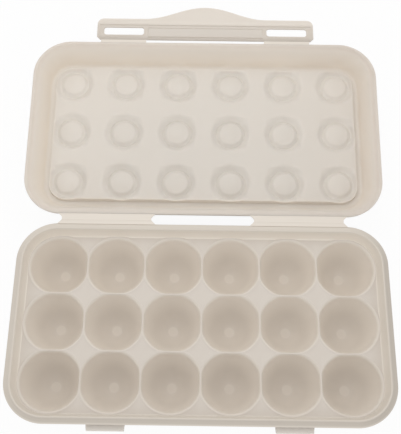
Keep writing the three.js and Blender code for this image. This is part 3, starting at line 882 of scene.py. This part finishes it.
def leaf_section(toward_fold):
    """Upper and lower side of a leaf, from inside the rim's edge to just under the fold film."""
    fold_start = HINGE_STANDOFF - FOLD_HALF
    steps = [*LEAF_STEPS, (fold_start, LEAF_FOLD_SINK),
             (fold_start + LEAF_UNDER_FILM, LEAF_UNDER_FILM_SINK)]
    top = [(toward_fold * y, -LEAF_SINK * sink) for y, sink in steps]
    under = [(toward_fold * y, -LEAF_THICKNESS) for y, _ in steps]
    return top, under


def hinge_leaf(body, side_name, side):
    """The tray's or the lid's half of a folding strip."""
    toward_fold = 1 if body == "tray" else -1
    top, under = leaf_section(toward_fold)

    def place(x, y, z):
        if body == "tray":
            return tray_place(x, y + RIM_DEPTH / 2, z + RIM_Z)
        return lid_place(x, y - RIM_DEPTH / 2, z)

    def flare_at(y):
        return (1 - min(max(toward_fold * y / HINGE_STANDOFF, 0), 1)) ** 2

    strip(f"hinge_strip_{body}_{side_name}", top, under, side, place, body,
          [f"hinge_leaf_{body}_{side_name}"], flare_at)


def fold_film(side_name, side):
    """The thin film on the fold line, drawn bent to the lid's open angle."""
    top, under = [], []
    sunk = SEAT_GAP / 2 + FOLD_DROP
    for share in np.linspace(-1, 1, FOLD_STEPS):
        y = share * (FOLD_HALF + FOLD_OVERLAP)
        edge = FOLD_EDGE_DROP * smooth_step((abs(share) - FOLD_EDGE_START) / (1 - FOLD_EDGE_START))
        top.append((y, -sunk - edge))
        under.append((y, -sunk - FOLD_THICKNESS))

    def place(x, y, z):
        tilt = np.where(y > 0, OPEN_TILT, 0)
        world_y = HINGE.y + y * np.cos(tilt) - z * np.sin(tilt)
        world_z = HINGE.z + y * np.sin(tilt) + z * np.cos(tilt)
        return np.stack([x, world_y, world_z], axis=-1)

    piece = strip(f"fold_film_{side_name}", top, under, side, place, None, (), lambda y: 0)
    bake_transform(piece)


# Latch

def latch_place(x, y, z):
    """A point drawn from the latch's axis, in the lid's own plane."""
    world_y = LATCH_AXIS.y + y * math.cos(OPEN_TILT) - z * math.sin(OPEN_TILT)
    world_z = LATCH_AXIS.z + y * math.sin(OPEN_TILT) + z * math.cos(OPEN_TILT)
    return np.stack([x, world_y, world_z], axis=-1)


def rounded_rectangle(half_x, half_y, corner, middle_x, middle_y, steps):
    """An anticlockwise outline."""
    points = []
    for turn, (side_x, side_y) in enumerate(((1, 1), (-1, 1), (-1, -1), (1, -1))):
        for share in np.linspace(0, 1, steps + 1):
            angle = (turn + share) * math.pi / 2
            points.append((middle_x + side_x * (half_x - corner) + corner * math.cos(angle),
                           middle_y + side_y * (half_y - corner) + corner * math.sin(angle)))
    return np.array(points)


def moved_in(outline, inset):
    """An anticlockwise outline with every side moved inwards; a negative inset moves it out."""
    before, after = outline - np.roll(outline, 1, axis=0), np.roll(outline, -1, axis=0) - outline
    before /= np.linalg.norm(before, axis=1)[:, None]
    after /= np.linalg.norm(after, axis=1)[:, None]
    normal_before = np.stack([-before[:, 1], before[:, 0]], axis=1)
    normal_after = np.stack([-after[:, 1], after[:, 0]], axis=1)
    bisector = normal_before + normal_after
    bisector /= np.linalg.norm(bisector, axis=1)[:, None]
    stretch = np.clip((bisector * normal_after).sum(1), LEAST_MITRE, 1)
    return outline + bisector * (inset / stretch)[:, None]


def moulded_plate(outer, holes, pockets, edge, hole_edge, pocket_edge):
    """A plate whose outline, holes and pockets each follow a section of (inset, height) points."""
    points, faces = [], []

    def add_loops(outline, section, into_material):
        first = len(points)
        for inset, z in section:
            points.extend((px, py, z) for px, py in moved_in(outline, into_material * inset))
        count = len(outline)
        for j in range(len(section) - 1):
            for i in range(count):
                a = first + j * count + i
                b = first + j * count + (i + 1) % count
                quad = (a, b, b + count, a + count)
                faces.append(quad if into_material > 0 else quad[::-1])
        return list(range(first, first + count)), list(range(len(points) - count, len(points)))

    def fill(loops, upward):
        order = [index for loop in loops for index in loop]
        flat = [[Vector((points[i][0], points[i][1], 0)) for i in loop] for loop in loops]
        for triangle in tessellate_polygon(flat):
            a, b, c = (order[i] for i in triangle)
            ab = np.array(points[b][:2]) - np.array(points[a][:2])
            ac = np.array(points[c][:2]) - np.array(points[a][:2])
            turns_left = ab[0] * ac[1] - ab[1] * ac[0] > 0
            faces.append((a, b, c) if turns_left == upward else (a, c, b))

    lower, upper = [], []
    first, last = add_loops(outer, edge, 1)
    lower.append(first)
    upper.append(last)
    for hole in holes:
        first, last = add_loops(hole, hole_edge, -1)
        lower.append(first)
        upper.append(last)
    for pocket in pockets:
        first, last = add_loops(pocket, pocket_edge, 1)
        upper.append(first)
        fill([last], True)
    fill(upper, True)
    fill(lower, False)
    return np.array(points), faces


def latch_outline():
    """The flap and its lip from above, anticlockwise: fold, right end, thumb tab, left end."""
    top, half = LATCH_CREASE + LIP_WIDTH, LATCH_HALF_LENGTH
    corner = []
    for angle in np.linspace(0, math.pi / 2, LIP_CORNER_STEPS):
        corner.append((half - LIP_CORNER * (1 - math.cos(angle)), top - LIP_CORNER * (1 - math.sin(angle))))
    tab = []
    for share in np.linspace(1, -1, TAB_STEPS + 1):
        tab.append((share * TAB_HALF_LENGTH, top + TAB_RISE * (1 + math.cos(math.pi * share)) / 2))
    right = [(half - LATCH_CHAMFER, LATCH_GAP), (half, LATCH_GAP + LATCH_CHAMFER), *corner]
    left = [(-x, y) for x, y in right[::-1]]
    return np.array([left[-1], *right, *tab, *left[:-1]])


def latch_flap():
    """The flap with its slots, its sunk panel, and the crease between plate and lip."""
    low, high = LATCH_TOP - LATCH_THICKNESS, LATCH_TOP
    border, slight = high - BORDER_DROP, PLATE_ROUNDING * PLATE_BREAK
    upper_side = [(0, high - PLATE_ROUNDING), (slight, high - slight), (PLATE_ROUNDING, high)]
    edge = [(PLATE_ROUNDING, low), (slight, low + slight), (0, low + PLATE_ROUNDING), *upper_side,
            (BORDER_INSETS[0], high), (BORDER_INSETS[1], border)]
    hole_edge = [(PLATE_ROUNDING, low), (0, low + PLATE_ROUNDING), *upper_side,
                 (HOLE_BORDER_INSETS[0], high), (HOLE_BORDER_INSETS[1], border)]
    pocket_edge = [(0, border), (POCKET_INSETS[0], high - BORDER_DROP * POCKET_BREAK),
                   (POCKET_INSETS[1], high - POCKET_DROP)]
    middle_y = LATCH_GAP + SLOT_OFFSET + SLOT_WIDTH / 2
    slots = [rounded_rectangle(SLOT_LENGTH / 2, SLOT_WIDTH / 2, SLOT_CORNER,
                               side * (SLOT_START + SLOT_LENGTH / 2), middle_y, SLOT_STEPS)
             for side in (-1, 1)]
    crease = rounded_rectangle(LATCH_HALF_LENGTH - CREASE_MARGIN, CREASE_HALF, GROOVE_CORNER,
                               0, LATCH_CREASE, GROOVE_STEPS)
    panel = rounded_rectangle(SLOT_START - PANEL_MARGIN, PANEL_HALF, PANEL_CORNER,
                              0, PANEL_MIDDLE, PANEL_STEPS)
    foot_groove = rounded_rectangle(SLOT_START - PANEL_MARGIN, FOOT_GROOVE_HALF, GROOVE_CORNER,
                                    0, FOOT_GROOVE_MIDDLE, GROOVE_STEPS)
    flat, faces = moulded_plate(latch_outline(), slots, [crease, panel, foot_groove], edge, hole_edge,
                                pocket_edge)
    points = latch_place(flat[:, 0], flat[:, 1], flat[:, 2])
    # Painted shade on the bar by the fold and painted light past the crease, on the lip and thumb tab
    beyond_crease = smooth_step((flat[:, 1] - LATCH_CREASE) / PAINTED_LIP_LIGHT_RUN)
    beyond_bar = smooth_step((flat[:, 1] - LATCH_GAP) / SLOT_OFFSET)
    build("latch_flap", points, outward(points, faces), latch_plastic, "latch",
          ["latch_plate", "latch_lip"], (beyond_bar + beyond_crease) / 2)


def latch_web(side_name, side):
    """The short film between the lid's edge and the flap, drawn flat in the lid's plane."""
    length = SLOT_LENGTH + 2 * FILM_MARGIN
    start = SLOT_START - FILM_MARGIN
    along = np.linspace(-LATCH_STANDOFF - FILM_OVERLAP, LATCH_GAP + FILM_OVERLAP, FILM_STEPS_ALONG)
    rings = []
    for share in np.linspace(0, 1, FILM_STEPS_ACROSS):
        x = side * (start + share * length)
        ring = [(x, y, FILM_THICKNESS / 2) for y in along]
        ring += [(x, y, -FILM_THICKNESS / 2) for y in along[::-1]]
        rings.append(np.array(ring))
    flat = np.concatenate(rings)
    points = latch_place(flat[:, 0], flat[:, 1], flat[:, 2])
    faces = band_faces(len(rings), len(rings[0])) + end_faces(len(rings), len(rings[0]))
    piece = build(f"latch_web_{side_name}", points, outward(points, faces), hinge_plastic,
                  None, [f"latch_film_{side_name}"])
    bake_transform(piece)


# Build every piece
tray_rim()
for cup_row in range(ROWS):
    for cup_column in range(COLUMNS):
        egg_cup(cup_row, cup_column)
lid_shell()
latch_flap()
for name_of_side, sign in (("left", -1), ("right", 1)):
    front_catch(name_of_side, sign)
    hinge_leaf("tray", name_of_side, sign)
    hinge_leaf("lid", name_of_side, sign)
    fold_film(name_of_side, sign)
    latch_web(name_of_side, sign)


# Studio

FLOOR_HALF = 4.0
FLOOR_Z = -0.0002
FLOOR_GREY = 0.9
FLOOR_GLOW = 0.94
WORLD_LEVEL = 0.88
WORLD_COLOUR = (1, 0.99, 0.975, 1)
KEY_SIZE = 0.5
KEY_ENERGY = 0.68
KEY_COLOUR = (1, 0.985, 0.96)
KEY_PLACE = (-0.08, 0.25, 0.7)
KEY_TARGET = (0, -0.05, 0)
CAMERA_ELEVATION = math.radians(68.112)
CAMERA_TURN = math.radians(-0.515)
CAMERA_ROLL = math.radians(0.283)
CAMERA_LENS, CAMERA_SENSOR = 63.384, 36
CAMERA_PLACE = (0.00031, TRAY_Y - 0.15565, 0.66075)


def seen_directly(nodes, links):
    """One for rays that show the surroundings, zero for rays that light the box."""
    rays = nodes.new("ShaderNodeLightPath")
    seen = rays.outputs["Is Camera Ray"]
    for kind in ("Is Glossy Ray", "Is Transmission Ray"):
        either = nodes.new("ShaderNodeMath")
        either.operation = "MAXIMUM"
        links.new(seen, either.inputs[0])
        links.new(rays.outputs[kind], either.inputs[1])
        seen = either.outputs[0]
    return seen


def white_floor():
    """A white floor that shows as white and keeps a soft shadow."""
    mesh = bpy.data.meshes.new("floor")
    half = FLOOR_HALF
    corners = [(-half, -half, 0), (half, -half, 0), (half, half, 0), (-half, half, 0)]
    mesh.from_pydata(corners, [], [(0, 1, 2, 3)])
    material = bpy.data.materials.new("floor")
    material.use_nodes = True
    nodes, links = material.node_tree.nodes, material.node_tree.links
    output = nodes["Material Output"]
    nodes.remove(nodes["Principled BSDF"])
    diffuse = nodes.new("ShaderNodeBsdfDiffuse")
    diffuse.inputs["Color"].default_value = (FLOOR_GREY, FLOOR_GREY, FLOOR_GREY, 1)
    glow = nodes.new("ShaderNodeEmission")
    glow.inputs["Strength"].default_value = 1.0
    share = nodes.new("ShaderNodeMath")
    share.operation = "MULTIPLY"
    share.inputs[1].default_value = FLOOR_GLOW
    links.new(seen_directly(nodes, links), share.inputs[0])
    mix = nodes.new("ShaderNodeMixShader")
    links.new(share.outputs[0], mix.inputs["Fac"])
    links.new(diffuse.outputs[0], mix.inputs[1])
    links.new(glow.outputs[0], mix.inputs[2])
    links.new(mix.outputs[0], output.inputs["Surface"])
    mesh.materials.append(material)
    floor = bpy.data.objects.new("floor", mesh)
    floor.location.z = FLOOR_Z
    bpy.context.scene.collection.objects.link(floor)


def world_light():
    """Even light from all round, which shows as white."""
    world = bpy.data.worlds.new("studio")
    bpy.context.scene.world = world
    world.use_nodes = True
    nodes, links = world.node_tree.nodes, world.node_tree.links
    background = nodes["Background"]
    background.inputs["Color"].default_value = WORLD_COLOUR
    level = nodes.new("ShaderNodeMix")
    level.inputs["A"].default_value = WORLD_LEVEL
    level.inputs["B"].default_value = 1.0
    links.new(seen_directly(nodes, links), level.inputs["Factor"])
    links.new(level.outputs["Result"], background.inputs["Strength"])


def key_light():
    """One soft lamp above the lid's far half, a little to the left."""
    data = bpy.data.lights.new("key", "AREA")
    data.shape = "DISK"
    data.size = KEY_SIZE
    data.energy = KEY_ENERGY
    data.color = KEY_COLOUR
    lamp = bpy.data.objects.new("key", data)
    lamp.location = KEY_PLACE
    aim = Vector(KEY_TARGET) - lamp.location
    lamp.rotation_mode = "QUATERNION"
    lamp.rotation_quaternion = aim.to_track_quat("-Z", "Y")
    bpy.context.scene.collection.objects.link(lamp)


def photo_camera():
    """The photograph's view: elevation, turn, roll, place and focal length."""
    elevation, turn, roll = CAMERA_ELEVATION, CAMERA_TURN, CAMERA_ROLL
    forward = Vector((math.sin(turn) * math.cos(elevation), math.cos(turn) * math.cos(elevation),
                      -math.sin(elevation)))
    right = Vector((math.cos(turn), -math.sin(turn), 0))
    up = right.cross(forward)
    rolled_right = right * math.cos(roll) + up * math.sin(roll)
    rolled_up = up * math.cos(roll) - right * math.sin(roll)
    data = bpy.data.cameras.new("camera")
    data.sensor_width = CAMERA_SENSOR
    data.lens = CAMERA_LENS
    camera = bpy.data.objects.new("camera", data)
    axes = Matrix((rolled_right, rolled_up, -forward)).transposed().to_4x4()
    camera.matrix_world = Matrix.Translation(CAMERA_PLACE) @ axes
    bpy.context.scene.collection.objects.link(camera)
    bpy.context.scene.camera = camera


white_floor()
world_light()
key_light()
photo_camera()
bpy.context.scene.view_settings.view_transform = "Standard"
